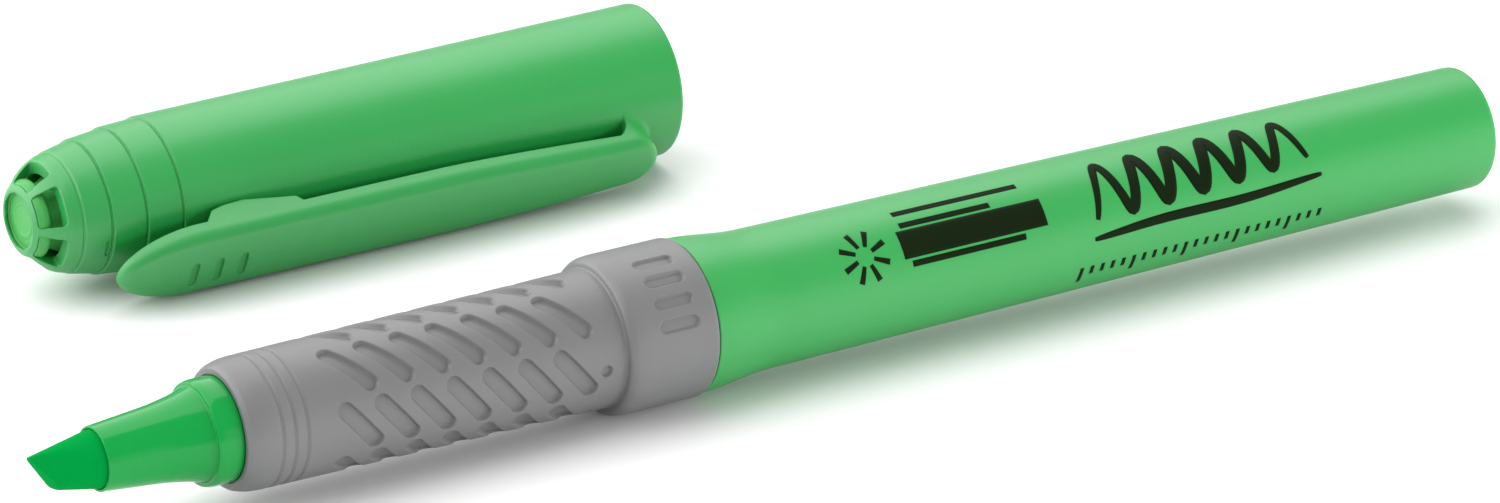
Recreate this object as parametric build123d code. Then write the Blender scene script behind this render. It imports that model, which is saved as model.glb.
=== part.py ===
from build123d import *
import math
import os

# Capped grip highlighter with its cap pulled off and lying beside it.
# Millimetres. +X runs along the pen from the nib to the tail, +Z is up, and z = 0 is the table.
# Pen stations are measured back from the nib's tip, cap stations back from the cap's nose.

# ---------------------------------------------------------------- driving dimensions
PEN_LENGTH = 132.0
CAP_LENGTH = 57.9
SEPARATION = 43.8            # between the pen's axis and the cap's axis, side by side
CAP_AHEAD = 22.3             # from the nib's tip back to the cap's nose
FIT_GAP = 0.06               # radial gap between pieces that slide together
SEAT_GAP = 0.10              # end gap between pieces that meet face to face

# nib: a tapered felt rod, cut to a slanted wedge
NIB_ROD_R = 2.30
NIB_FRONT_R = 1.25
NIB_TAPER_LENGTH = 5.5
NIB_EDGE_HALF = 0.30
NIB_WEDGE_ANGLE = 23.0
NIB_LONG_SIDE = 1.20         # height of the foremost corner above the rod's axis
NIB_SLANT = 33.0             # how far the writing edge leans back
NIB_LENGTH = 27.0
NIB_TAIL_LENGTH = 4.0
NIB_TAIL_R = 0.8
NIB_ANGLE = 64.2             # direction of the foremost corner about the axis, 0 along +Y and 90 up

# nib holder: the cone that carries the nib and plugs the barrel's neck
HOLDER_START = 5.3
HOLDER_FRONT_R = 2.52
HOLDER_CONE_END = 10.8
HOLDER_CONE_R = 3.02
HOLDER_BEND_LENGTH = 1.5      # the cone bends outward over this length
HOLDER_BEND_RISE = 0.28
HOLDER_RING_START = 13.8
HOLDER_RING_STEP = 0.44      # the ring stands this far above the end of the flare
HOLDER_LEDGE = 0.32          # and this far above the bore it closes, to seat on the neck's end
HOLDER_END = 23.5
RING_ROUND = 0.25

# grip sleeve: soft sleeve with slanted slots, fine grooves and a collar
GRIP_START = 15.45
GRIP_NOSE_R = 4.50
GRIP_NOSE_ROUND = 0.10
GRIP_LAND_START = 16.25
GRIP_LAND_R = 4.82
GRIP_FRONT = 17.9
GRIP_FRONT_R = 5.16
GRIP_REAR_R = 5.44
SHOULDER_START = 48.4
SHOULDER_LENGTH = 0.9
COLLAR_R = 6.27
GRIP_END = 56.35
COLLAR_ROUND = 0.45
GROOVE_FIRST = 18.6
GROOVE_PITCH = 1.05
GROOVE_COUNT = 3
GROOVE_WIDTH = 0.30
GROOVE_DEPTH = 0.12
SLOT_ROWS = 7
SLOTS_PER_ROW = 7
SLOT_FIRST = 25.3            # middle of a row's first slot
SLOT_PITCH = 3.11
SLOT_WIDTH = 1.30
SLOT_RUN = 2.50              # along the pen, between the centres of a slot's two ends
SLOT_TURN = 33.0             # around the pen, between the same two centres
SLOT_DEPTH = 0.32
SLOT_ROW_ANGLE = 129.7
PIP_R = 0.42
PIP_STATION = 46.6
PIP_DEPTH = 0.22
PIP_ANGLE = 184.5
MARK_COUNT = 4
MARK_ANGLE = 108.0
MARK_PITCH = 17.0
MARK_LENGTH = 3.4
MARK_WIDTH = 0.95
MARK_DEPTH = 0.25

# barrel and its end plug
NECK_START = 16.0
BORE_R = 3.80
NECK_WALL = 0.70
FLARE_STEP = 0.15            # the barrel starts this much below the collar
FLARE_LENGTH = 6.8
BARREL_FRONT_R = 5.54
BARREL_REAR_R = 4.98
BARREL_END = 131.0
BARREL_RIM_ROUND = 0.70
PLUG_HEAD_R = 4.20
PLUG_CORNER = 0.80
PLUG_SPIGOT = 6.0
PLUG_WALL = 1.3

# ink reservoir: a fibre core in a thin film
RESERVOIR_LENGTH = 98.0
FILM_GAP = 0.10
FILM_WALL = 0.15
RESERVOIR_GAP = 0.3          # behind the nib holder

# cap shell: stepped rings towards the crown, six vent windows round its dome
NOSE_R = 2.62
NOSE_HOLE_R = 2.30
NOSE_DEPTH = 0.40
DOME_END = 3.28
DOME_R = 4.86
RINGS = [(5.50, 5.36), (8.40, 5.76), (11.50, 6.02)]     # station and radius at each ring's end
RING_STEP = 0.14
CAP_BODY_R = 6.16
CAP_MOUTH_WALL = 0.80
CAP_WALL = 0.85
CAP_CLEARANCE = 0.14         # between the cap's bore and the grip's thick end
MOUTH_ROUND = 0.25
MOUTH_CHAMFER = 0.40         # leads the grip into the bore
BORE_LEAD_LENGTH = 1.5       # widens the bore behind the seal's flange
WINDOW_COUNT = 6
WINDOW_START = 0.45
WINDOW_END = 2.15
WINDOW_TURN = 35.0
WINDOW_ANGLE = 150.2
RING_LINE = 0.14

# inner seal: a cup inside the cap that closes round the nib holder's ring
SEAL_WALL = 0.60
SEAL_FLANGE = 0.17
SEAL_FLANGE_START = 10.0
SEAL_FLANGE_LENGTH = 1.4
SEAL_NECK_END = 9.0
SEAL_FLOOR = 1.0
SEAL_SHOULDER_RISE = 0.25    # just behind the nose hole
SEAL_NECK_RISE = 0.50        # by the windows' rear edge
SEAL_NECK_LENGTH = 2.0       # from there until the neck is nearly as wide as the cup's bore
SEAL_NECK_GAP = 0.35
SEAL_CUP_DRAFT = 0.15
SEAL_MOUTH_LEAD = 0.20
SEAL_MOUTH_LEAD_LENGTH = 0.40
SEAL_NECK_WALL = 0.65

# pocket clip: rooted near the cap's mouth, free towards the crown
CLIP_ANGLE = -155.8          # its direction about the cap's axis, 0 along +Y and 90 up
CLIP_TIP = 5.1
CLIP_ROOT = 54.4
CLIP_HEIGHT = 9.25           # outer face above the cap's axis
CLIP_ROOT_HEIGHT = 9.0
CLIP_ROOT_SLOPE = 12.0
CLIP_HALF_WIDTH = 3.2
CLIP_ROOT_HALF = 2.4
CLIP_TIP_DROP = 0.45         # the free end's outer face dips by this much over the slope's length
CLIP_TIP_SLOPE = 4.5
CLIP_TIP_THICKNESS = 1.2
CLIP_INNER_R = 8.0
CLIP_FOOT_LENGTH = 4.5
CLIP_FOOT_RAMP = 0.8
CLIP_FOOT_GAP = 0.08
CLIP_BEAD_START = 12.9
CLIP_BEAD_PEAK = 15.5
CLIP_BEAD_END = 21.4
CLIP_BEAD_STEP = 0.5         # height of the small step at the bead's rear
CLIP_BEAD_R = 6.7
CLIP_EDGE = 0.45
CLIP_CROWN_R = 14.0          # crown across the clip's outer face

# ---------------------------------------------------------------- places that follow
PEN_Z = COLLAR_R
NECK_R = BORE_R + NECK_WALL
FLARE_R = COLLAR_R - FLARE_STEP
HOLDER_RING_R = BORE_R + HOLDER_LEDGE
HOLDER_FLARE_R = HOLDER_RING_R - HOLDER_RING_STEP
CAP_BORE_R = GRIP_REAR_R + CAP_CLEARANCE
CAP_MOUTH_R = CAP_BORE_R + CAP_MOUTH_WALL
SEAL_MOUTH_R = HOLDER_RING_R + FIT_GAP
SEAL_OUTER_R = SEAL_MOUTH_R + SEAL_WALL
SEAL_FLANGE_R = SEAL_OUTER_R + SEAL_FLANGE
CLIP_SIN = math.sin(math.radians(CLIP_ANGLE))
CLIP_COS = math.cos(math.radians(CLIP_ANGLE))
CLIP_CORNER = CLIP_HEIGHT - CLIP_CROWN_R + math.sqrt(CLIP_CROWN_R ** 2 - CLIP_HALF_WIDTH ** 2)
CLIP_DROP = abs(CLIP_CORNER * CLIP_SIN) + abs(CLIP_HALF_WIDTH * CLIP_COS)
CAP_Z = max(CAP_MOUTH_R, CLIP_DROP)              # the cap lies on its side and on one edge of its clip
PEN_Y = -(SEPARATION + CAP_MOUTH_R - COLLAR_R) / 2
CAP_Y = PEN_Y + SEPARATION
PEN_X = -PEN_LENGTH / 2
CAP_X = PEN_X + CAP_AHEAD
COLLAR_START = SHOULDER_START + SHOULDER_LENGTH
SEATED_MOUTH = SHOULDER_START + SEAT_GAP
SEATED_NOSE = SEATED_MOUTH - CAP_LENGTH          # cap station 0, measured from the nib's tip
SEAL_END = GRIP_START - SEAT_GAP - SEATED_NOSE
FILM_R = BORE_R - FILM_GAP
CORE_R = FILM_R - FILM_WALL
HOLDER_SEAT = NECK_START


def pen_place(shape):
    """Turns a shape built along +Z into the pen's place, its start at the nib's tip."""
    return Pos(PEN_X, PEN_Y, PEN_Z) * Rot(0, 90, 0) * shape


def cap_place(shape):
    """The same for the cap, with its start at the cap's nose."""
    return Pos(CAP_X, CAP_Y, CAP_Z) * Rot(0, 90, 0) * shape


def turned(points):
    """A solid of revolution about Z from (station, radius) points."""
    outline = Polyline([(radius, station) for station, radius in points], close=True)
    face = make_face(Plane.XZ * outline)
    return revolve(face, Axis.Z)


def about_axis(angle):
    """Turns a piece built round Z so that its local X ends up at an angle, 0 along +Y and 90 up."""
    return Rot(0, 0, angle + 90)


def radius_between(station, start, start_r, end, end_r):
    """Radius of a cone at a station between two known sections."""
    return start_r + (end_r - start_r) * (station - start) / (end - start)


def rising(start, start_r, end, end_r, count=4):
    """Points of a quarter ellipse that leaves its start steeply and arrives level, without the start."""
    points = []
    for index in range(1, count + 1):
        turn = math.pi / 2 * index / count
        points.append((start + (end - start) * (1 - math.cos(turn)), start_r + (end_r - start_r) * math.sin(turn)))
    return points


def eased(start, start_r, end, end_r, count=5):
    """Points of an S-shaped curve, level at both ends, without its start."""
    points = []
    for index in range(1, count + 1):
        share = index / count
        points.append((
            start + (end - start) * share, start_r + (end_r - start_r) * (1 - math.cos(math.pi * share)) / 2))
    return points


def grip_radius(station):
    return radius_between(station, GRIP_FRONT, GRIP_FRONT_R, SHOULDER_START, GRIP_REAR_R)


def cap_radius(station):
    last_ring = RINGS[-1][0]
    return radius_between(station, last_ring, CAP_BODY_R, CAP_LENGTH, CAP_MOUTH_R)


# ---------------------------------------------------------------- pen
def make_nib():
    tail_start = NIB_LENGTH - NIB_TAIL_LENGTH
    rod = turned([
        (0, 0), (0, NIB_FRONT_R), (NIB_TAPER_LENGTH, NIB_ROD_R), (tail_start, NIB_ROD_R),
        (NIB_LENGTH, NIB_TAIL_R), (NIB_LENGTH, 0)])
    # local X is across the wedge's flats, local Y is along the writing edge
    spread = NIB_EDGE_HALF + NIB_LENGTH * math.tan(math.radians(NIB_WEDGE_ANGLE))
    wedge_side = Polyline([
        (-NIB_EDGE_HALF, 0), (NIB_EDGE_HALF, 0), (spread, NIB_LENGTH), (-spread, NIB_LENGTH)], close=True)
    wedge = extrude(make_face(Plane.XZ * wedge_side), NIB_ROD_R * 2, both=True)
    nib = rod & wedge
    lean = Pos(0, NIB_LONG_SIDE, 0) * Rot(-NIB_SLANT, 0, 0)
    nib -= lean * Pos(0, 0, -NIB_LENGTH) * Box(NIB_LENGTH, 2 * NIB_LENGTH, 2 * NIB_LENGTH)
    return pen_place(Rot(0, 0, NIB_ANGLE) * nib)


def make_nib_holder():
    outside = [
        (HOLDER_START, HOLDER_FRONT_R), (HOLDER_CONE_END, HOLDER_CONE_R),
        (HOLDER_CONE_END + HOLDER_BEND_LENGTH, HOLDER_CONE_R + HOLDER_BEND_RISE),
        (HOLDER_RING_START, HOLDER_FLARE_R),
        (HOLDER_RING_START, HOLDER_RING_R - RING_ROUND), (HOLDER_RING_START + RING_ROUND, HOLDER_RING_R),
        (HOLDER_SEAT - SEAT_GAP, HOLDER_RING_R), (HOLDER_SEAT - SEAT_GAP, BORE_R), (HOLDER_END, BORE_R)]
    body = turned([(HOLDER_START, 0)] + outside + [(HOLDER_END, 0)])
    body -= turned([(0, 0), (0, NIB_ROD_R), (HOLDER_END + 1, NIB_ROD_R), (HOLDER_END + 1, 0)])
    return pen_place(body)


def slot_cutters():
    """Stadium slots, all leaning the same way, cut to an even depth below the grip's cone."""
    reach = COLLAR_R + 1
    first = SLOT_FIRST - SLOT_PITCH
    last = SLOT_FIRST + SLOTS_PER_ROW * SLOT_PITCH
    skin = turned([
        (first, grip_radius(first) - SLOT_DEPTH), (last, grip_radius(last) - SLOT_DEPTH),
        (last, reach), (first, reach)])
    cutters = []
    for row in range(SLOT_ROWS):
        row_turn = about_axis(SLOT_ROW_ANGLE + row * 360 / SLOT_ROWS)
        for index in range(SLOTS_PER_ROW):
            middle = SLOT_FIRST + index * SLOT_PITCH
            arc = math.radians(SLOT_TURN) * grip_radius(middle)
            lean = math.degrees(math.atan2(SLOT_RUN, arc))
            stadium = SlotOverall(math.hypot(arc, SLOT_RUN) + SLOT_WIDTH, SLOT_WIDTH)
            prism = Rot(0, 90, 0) * Rot(0, 0, 90 + lean) * extrude(stadium, reach)
            cutters.append(skin & (row_turn * Pos(0, 0, middle) * prism))
    return cutters


def make_grip_sleeve():
    shoulder = [(SHOULDER_START, GRIP_REAR_R)]
    shoulder += rising(SHOULDER_START, GRIP_REAR_R, COLLAR_START, COLLAR_R)
    outside = [
        (GRIP_START, GRIP_NOSE_R - GRIP_NOSE_ROUND), (GRIP_START + GRIP_NOSE_ROUND, GRIP_NOSE_R),
        (GRIP_LAND_START, GRIP_LAND_R)]
    outside += rising(GRIP_LAND_START, GRIP_LAND_R, GRIP_FRONT, GRIP_FRONT_R)
    for index in range(GROOVE_COUNT):
        middle = GROOVE_FIRST + index * GROOVE_PITCH
        half = GROOVE_WIDTH / 2
        outside += [
            (middle - half, grip_radius(middle)), (middle - half / 2, grip_radius(middle) - GROOVE_DEPTH),
            (middle + half / 2, grip_radius(middle) - GROOVE_DEPTH), (middle + half, grip_radius(middle))]
    outside += shoulder
    outside += reversed(rising(GRIP_END, COLLAR_R - COLLAR_ROUND, GRIP_END - COLLAR_ROUND, COLLAR_R))
    outside.append((GRIP_END, COLLAR_R - COLLAR_ROUND))
    inside = [(GRIP_END, NECK_R), (NECK_START, NECK_R), (NECK_START, HOLDER_RING_R + FIT_GAP),
              (GRIP_START, HOLDER_RING_R + FIT_GAP)]
    sleeve = turned(outside + inside)
    sleeve -= slot_cutters()
    pip = Pos(grip_radius(PIP_STATION) - PIP_DEPTH, 0, PIP_STATION) * Rot(0, 90, 0)
    pip *= extrude(Circle(PIP_R), COLLAR_R)
    sleeve -= about_axis(PIP_ANGLE) * pip
    mark_middle = (COLLAR_START + GRIP_END) / 2
    band = turned([
        (COLLAR_START, COLLAR_R - MARK_DEPTH), (GRIP_END, COLLAR_R - MARK_DEPTH),
        (GRIP_END, COLLAR_R + 1), (COLLAR_START, COLLAR_R + 1)])
    for index in range(MARK_COUNT):
        bar = extrude(SlotOverall(MARK_LENGTH, MARK_WIDTH), COLLAR_R + 1)
        bar = about_axis(MARK_ANGLE + index * MARK_PITCH) * Pos(0, 0, mark_middle) * Rot(0, 90, 0) * bar
        sleeve -= band & bar
    return pen_place(sleeve.solid())


def make_barrel():
    flare = [(GRIP_END, FLARE_R)] + eased(GRIP_END, FLARE_R, GRIP_END + FLARE_LENGTH, BARREL_FRONT_R)
    rim_r = BARREL_REAR_R - BARREL_RIM_ROUND
    rim = list(reversed(rising(BARREL_END, rim_r, BARREL_END - BARREL_RIM_ROUND, BARREL_REAR_R)))
    outside = [(NECK_START, NECK_R), (GRIP_END, NECK_R)] + flare + rim + [(BARREL_END, rim_r)]
    return pen_place(turned(outside + [(BARREL_END, BORE_R), (NECK_START, BORE_R)]))


def make_end_plug():
    corner_start = PEN_LENGTH - PLUG_CORNER
    flat_r = PLUG_HEAD_R - PLUG_CORNER
    arc_middle = PLUG_CORNER * math.sin(math.pi / 4)
    outline = [
        Line((0, BARREL_END), (PLUG_HEAD_R, BARREL_END)),
        Line((PLUG_HEAD_R, BARREL_END), (PLUG_HEAD_R, corner_start)),
        ThreePointArc(
            (PLUG_HEAD_R, corner_start), (flat_r + arc_middle, corner_start + arc_middle), (flat_r, PEN_LENGTH)),
        Line((flat_r, PEN_LENGTH), (0, PEN_LENGTH)),
        Line((0, PEN_LENGTH), (0, BARREL_END))]
    dome = revolve(make_face(Plane.XZ * Curve(outline)), Axis.Z)
    spigot = turned([
        (BARREL_END - PLUG_SPIGOT, BORE_R - PLUG_WALL), (BARREL_END - PLUG_SPIGOT, BORE_R),
        (BARREL_END, BORE_R), (BARREL_END, BORE_R - PLUG_WALL)])
    return pen_place(dome + spigot)


def make_reservoir():
    start = HOLDER_END + RESERVOIR_GAP
    core = turned([(start, 0), (start, CORE_R), (start + RESERVOIR_LENGTH, CORE_R), (start + RESERVOIR_LENGTH, 0)])
    tail_start = NIB_LENGTH - NIB_TAIL_LENGTH
    entry_r = radius_between(start, tail_start, NIB_ROD_R, NIB_LENGTH, NIB_TAIL_R)
    core -= turned([(start, 0), (start, entry_r), (NIB_LENGTH, NIB_TAIL_R), (NIB_LENGTH, 0)])
    film = turned([
        (start, CORE_R), (start, FILM_R), (start + RESERVOIR_LENGTH, FILM_R), (start + RESERVOIR_LENGTH, CORE_R)])
    return pen_place(core), pen_place(film)


# ---------------------------------------------------------------- cap
def dome_profile():
    """The dome from the nose's rim to the first ring line, a quarter ellipse sampled evenly."""
    points = []
    count = 7
    for index in range(count + 1):
        turn = math.pi / 2 * 0.80 * index / count + 0.16
        points.append((1 - math.cos(turn), math.sin(turn)))
    first, last = points[0], points[-1]
    scaled = []
    for along, across in points:
        station = DOME_END * (along - first[0]) / (last[0] - first[0])
        radius = NOSE_R + (DOME_R - NOSE_R) * (across - first[1]) / (last[1] - first[1])
        scaled.append((station, radius))
    return scaled


def cap_outside():
    points = dome_profile()
    points += [(DOME_END + RING_LINE, DOME_R - RING_LINE / 2), (DOME_END + 2 * RING_LINE, DOME_R + RING_LINE / 2)]
    for index, (station, radius) in enumerate(RINGS):
        points.append((station, radius))
        next_r = radius + RING_STEP if index < len(RINGS) - 1 else CAP_BODY_R
        points.append((station + RING_LINE, radius - RING_LINE / 3))
        points.append((station + 2 * RING_LINE, next_r))
    points += [(CAP_LENGTH - MOUTH_ROUND, CAP_MOUTH_R), (CAP_LENGTH, CAP_MOUTH_R - MOUTH_ROUND)]
    return points


def make_cap_shell():
    shell = turned([(0, 0)] + cap_outside() + [(CAP_LENGTH, 0)])
    cavity = [(0, 0), (0, NOSE_HOLE_R), (WINDOW_START, NOSE_HOLE_R)]
    cavity += [(WINDOW_START, NOSE_HOLE_R + SEAL_SHOULDER_RISE + FIT_GAP)]
    cavity += [(s + CAP_WALL, r - CAP_WALL) for s, r in dome_profile()[2:]]
    flange_end = SEAL_FLANGE_START + SEAL_FLANGE_LENGTH
    cavity += [(SEAL_FLANGE_START, SEAL_FLANGE_R), (flange_end, SEAL_FLANGE_R)]
    cavity += [(flange_end + BORE_LEAD_LENGTH, CAP_BORE_R), (CAP_LENGTH - MOUTH_CHAMFER, CAP_BORE_R)]
    cavity += [(CAP_LENGTH, CAP_BORE_R + MOUTH_CHAMFER), (CAP_LENGTH, 0)]
    shell -= turned(cavity)
    reach = CAP_MOUTH_R
    spread = reach * math.tan(math.radians(WINDOW_TURN / 2))
    outline = Polyline([(0, 0), (reach, spread), (reach, -spread)], close=True)
    wedge = Pos(0, 0, WINDOW_START) * extrude(make_face(outline), WINDOW_END - WINDOW_START)
    for index in range(WINDOW_COUNT):
        shell -= about_axis(WINDOW_ANGLE + index * 360 / WINDOW_COUNT) * wedge
    return cap_place(shell)


def make_inner_seal():
    neck_end = WINDOW_END + SEAL_NECK_LENGTH
    neck_end_r = SEAL_MOUTH_R - SEAL_NECK_GAP
    flange_end = SEAL_FLANGE_START + SEAL_FLANGE_LENGTH
    floor = NOSE_DEPTH + SEAL_FLOOR
    outside = [
        (NOSE_DEPTH, NOSE_HOLE_R), (WINDOW_START, NOSE_HOLE_R),
        (WINDOW_START + SEAL_SHOULDER_RISE, NOSE_HOLE_R + SEAL_SHOULDER_RISE),
        (WINDOW_END, NOSE_HOLE_R + SEAL_NECK_RISE), (neck_end, neck_end_r),
        (SEAL_NECK_END, SEAL_OUTER_R - SEAL_CUP_DRAFT), (SEAL_FLANGE_START, SEAL_OUTER_R - SEAL_CUP_DRAFT),
        (SEAL_FLANGE_START, SEAL_FLANGE_R), (flange_end, SEAL_FLANGE_R), (flange_end, SEAL_OUTER_R),
        (SEAL_END, SEAL_OUTER_R)]
    inside = [
        (SEAL_END, SEAL_MOUTH_R + SEAL_MOUTH_LEAD), (SEAL_END - SEAL_MOUTH_LEAD_LENGTH, SEAL_MOUTH_R),
        (SEAL_FLANGE_START, SEAL_MOUTH_R), (neck_end, neck_end_r - SEAL_NECK_WALL),
        (floor, NOSE_HOLE_R - SEAL_FLOOR), (floor, 0)]
    return cap_place(turned([(NOSE_DEPTH, 0)] + outside + inside))


def clip_outline():
    """The clip seen square on to its outer face: x is across, y is the station along the cap."""
    end_middle = CLIP_TIP + CLIP_HALF_WIDTH
    root_middle = CLIP_ROOT - CLIP_ROOT_HALF
    with BuildSketch() as flat:
        with BuildLine():
            Line((CLIP_HALF_WIDTH, end_middle), (CLIP_ROOT_HALF, root_middle))
            ThreePointArc((CLIP_ROOT_HALF, root_middle), (0, CLIP_ROOT), (-CLIP_ROOT_HALF, root_middle))
            Line((-CLIP_ROOT_HALF, root_middle), (-CLIP_HALF_WIDTH, end_middle))
            ThreePointArc((-CLIP_HALF_WIDTH, end_middle), (0, CLIP_TIP), (CLIP_HALF_WIDTH, end_middle))
        make_face()
    return flat.sketch


def make_pocket_clip():
    # built with local X radial, local Y across and local Z along the cap
    plan = extrude(Plane(origin=(0, 0, 0), x_dir=(0, 1, 0), z_dir=(1, 0, 0)) * clip_outline(), CLIP_HEIGHT + 1)
    tip_height = CLIP_HEIGHT - CLIP_TIP_DROP
    side = Polyline([
        (0, 0), (CLIP_HEIGHT - CLIP_TIP_THICKNESS, 0), (CLIP_HEIGHT - CLIP_TIP_THICKNESS, CLIP_TIP),
        (tip_height, CLIP_TIP + CLIP_TIP_THICKNESS), (CLIP_HEIGHT, CLIP_TIP + CLIP_TIP_SLOPE),
        (CLIP_HEIGHT, CLIP_ROOT - CLIP_ROOT_SLOPE), (CLIP_ROOT_HEIGHT, CLIP_ROOT), (0, CLIP_ROOT)], close=True)
    block = extrude(make_face(Plane.XZ * side), CLIP_HALF_WIDTH + CLIP_EDGE, both=True)
    block = fillet(block.edges().filter_by(Axis.Y).sort_by(Axis.X)[-4:], CLIP_EDGE)
    foot_start = CLIP_ROOT - CLIP_FOOT_LENGTH
    foot_r = cap_radius(CLIP_ROOT) + CLIP_FOOT_GAP
    bead_step = CLIP_INNER_R - CLIP_BEAD_STEP
    cavity = [
        (0, 0), (0, CLIP_INNER_R), (CLIP_BEAD_START, CLIP_INNER_R), (CLIP_BEAD_PEAK, CLIP_BEAD_R),
        (CLIP_BEAD_END, bead_step), (CLIP_BEAD_END, CLIP_INNER_R), (foot_start, CLIP_INNER_R),
        (foot_start + CLIP_FOOT_RAMP, foot_r), (CAP_LENGTH, foot_r), (CAP_LENGTH, 0)]
    crown = Pos(CLIP_HEIGHT - CLIP_CROWN_R, 0, CAP_LENGTH / 2) * Cylinder(CLIP_CROWN_R, CAP_LENGTH)
    clip = (plan & block & crown) - turned(cavity)
    return cap_place(about_axis(CLIP_ANGLE) * clip)


# ---------------------------------------------------------------- write
def main():
    reservoir, film = make_reservoir()
    nodes = {
        "nib": make_nib(),
        "nib_holder": make_nib_holder(),
        "grip_sleeve": make_grip_sleeve(),
        "barrel": make_barrel(),
        "end_plug": make_end_plug(),
        "ink_reservoir": reservoir,
        "reservoir_film": film,
        "cap_shell": make_cap_shell(),
        "cap_inner_seal": make_inner_seal(),
        "pocket_clip": make_pocket_clip(),
    }
    os.makedirs("parts", exist_ok=True)
    for name, shape in nodes.items():
        export_step(shape, f"parts/{name}.step")


main()
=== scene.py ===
import math
import bpy
import numpy as np
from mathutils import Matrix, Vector


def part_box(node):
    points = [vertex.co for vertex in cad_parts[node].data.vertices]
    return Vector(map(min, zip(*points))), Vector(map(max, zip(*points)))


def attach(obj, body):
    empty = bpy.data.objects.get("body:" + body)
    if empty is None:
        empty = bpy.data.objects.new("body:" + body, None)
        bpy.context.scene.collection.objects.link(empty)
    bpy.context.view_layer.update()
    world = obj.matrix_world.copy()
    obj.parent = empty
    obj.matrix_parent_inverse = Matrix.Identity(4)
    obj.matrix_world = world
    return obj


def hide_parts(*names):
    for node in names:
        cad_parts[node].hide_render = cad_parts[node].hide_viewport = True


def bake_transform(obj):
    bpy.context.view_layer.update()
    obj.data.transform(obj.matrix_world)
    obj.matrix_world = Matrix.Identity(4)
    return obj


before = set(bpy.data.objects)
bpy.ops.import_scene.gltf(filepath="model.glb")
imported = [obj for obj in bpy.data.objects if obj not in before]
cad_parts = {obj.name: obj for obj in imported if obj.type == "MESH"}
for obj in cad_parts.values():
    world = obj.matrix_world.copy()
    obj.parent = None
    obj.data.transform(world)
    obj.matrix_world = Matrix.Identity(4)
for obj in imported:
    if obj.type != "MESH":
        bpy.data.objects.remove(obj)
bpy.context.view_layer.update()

# Everything is worked out in millimetres in two local frames, one along the pen and one along
# the cap, and becomes metres only when a mesh is made. A station is a distance back from the
# nib's tip or from the cap's nose. Angles about an axis are 0 along +Y and 90 up.
MM = 0.001


# ---------------------------------------------------------------- places from the frame
def box_mm(node):
    low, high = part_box(node)
    return np.array(low) / MM, np.array(high) / MM


nib_low, nib_high = box_mm("nib")
barrel_low, barrel_high = box_mm("barrel")
grip_low, grip_high = box_mm("grip_sleeve")
_, plug_high = box_mm("end_plug")
holder_low, holder_high = box_mm("nib_holder")
shell_low, shell_high = box_mm("cap_shell")
seal_low, seal_high = box_mm("cap_inner_seal")
clip_low, clip_high = box_mm("pocket_clip")

PEN = np.array([nib_low[0], (barrel_low[1] + barrel_high[1]) / 2, (barrel_low[2] + barrel_high[2]) / 2])
CAP = np.array([shell_low[0], (shell_low[1] + shell_high[1]) / 2, (shell_low[2] + shell_high[2]) / 2])
PEN_LENGTH = plug_high[0] - PEN[0]
CAP_LENGTH = shell_high[0] - CAP[0]
COLLAR_R = (grip_high[2] - grip_low[2]) / 2
MOUTH_R = (shell_high[2] - shell_low[2]) / 2
HOLDER_RING_R = (holder_high[2] - holder_low[2]) / 2
GRIP_START = grip_low[0] - PEN[0]
GRIP_END = grip_high[0] - PEN[0]
HOLDER_START = holder_low[0] - PEN[0]
HOLDER_END = holder_high[0] - PEN[0]
PLUG_HEAD_LENGTH = 1.0
BARREL_END = PEN_LENGTH - PLUG_HEAD_LENGTH
SEAL_START = seal_low[0] - CAP[0]
SEAL_END = seal_high[0] - CAP[0]
CLIP_TIP = clip_low[0] - CAP[0]
CLIP_ROOT = clip_high[0] - CAP[0]

# sizes the boxes don't give
NIB_ROD_R = 2.30
BORE_R = 3.80
NECK_R = 4.50
GRIP_FRONT, GRIP_FRONT_R = 17.9, 5.16
SHOULDER, GRIP_REAR_R = 48.4, 5.44
BARREL_FRONT_R, BARREL_REAR_R = 5.54, 4.98
FLARE_LENGTH = 6.8
BARREL_RIM_ROUND = 0.70
CAP_BORE_R = 5.58
FIT = 0.01                     # how far touching visual faces stand apart or sink


# ---------------------------------------------------------------- mesh makers
def mesh_object(name, points, faces, normals=None):
    """A smooth-shaded object from points in millimetres in the row frame."""
    mesh = bpy.data.meshes.new(name)
    mesh.from_pydata((np.asarray(points) * MM).tolist(), [], faces)
    mesh.validate()
    mesh.shade_smooth()
    if normals is not None:
        mesh.normals_split_custom_set_from_vertices(normals.tolist())
    obj = bpy.data.objects.new(name, mesh)
    bpy.context.scene.collection.objects.link(obj)
    return obj


ROUND_SHARE = 0.45             # a rounded corner takes up no more than this much of a side
SUPPORT_MARGIN = 0.05


def rounded(corners, steps=6):
    """Outline points from (station, radius, round) corners: each corner becomes a short curve."""
    points = []
    count = len(corners)
    for index, (station, radius, size) in enumerate(corners):
        here = np.array([station, radius], float)
        before = np.array(corners[(index - 1) % count][:2], float)
        after = np.array(corners[(index + 1) % count][:2], float)
        near = min(np.linalg.norm(before - here), np.linalg.norm(after - here))
        reach = min(size, ROUND_SHARE * near)
        if reach <= 0:
            points.append(here)
            continue
        start = here + (before - here) / np.linalg.norm(before - here) * reach
        end = here + (after - here) / np.linalg.norm(after - here) * reach
        for step in range(steps + 1):
            t = step / steps
            points.append((1 - t) ** 2 * start + 2 * t * (1 - t) * here + t ** 2 * end)
    return np.array(points)


def with_supports(outline, margin=SUPPORT_MARGIN):
    """Adds a point close to both ends of each long stretch, which keeps its shading flat."""
    points = []
    for here, after in zip(outline, np.roll(outline, -1, axis=0)):
        points.append(here)
        length = np.linalg.norm(after - here)
        if length > 4 * margin:
            points.append(here + (after - here) * margin / length)
            points.append(after - (after - here) * margin / length)
    return np.array(points)


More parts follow.
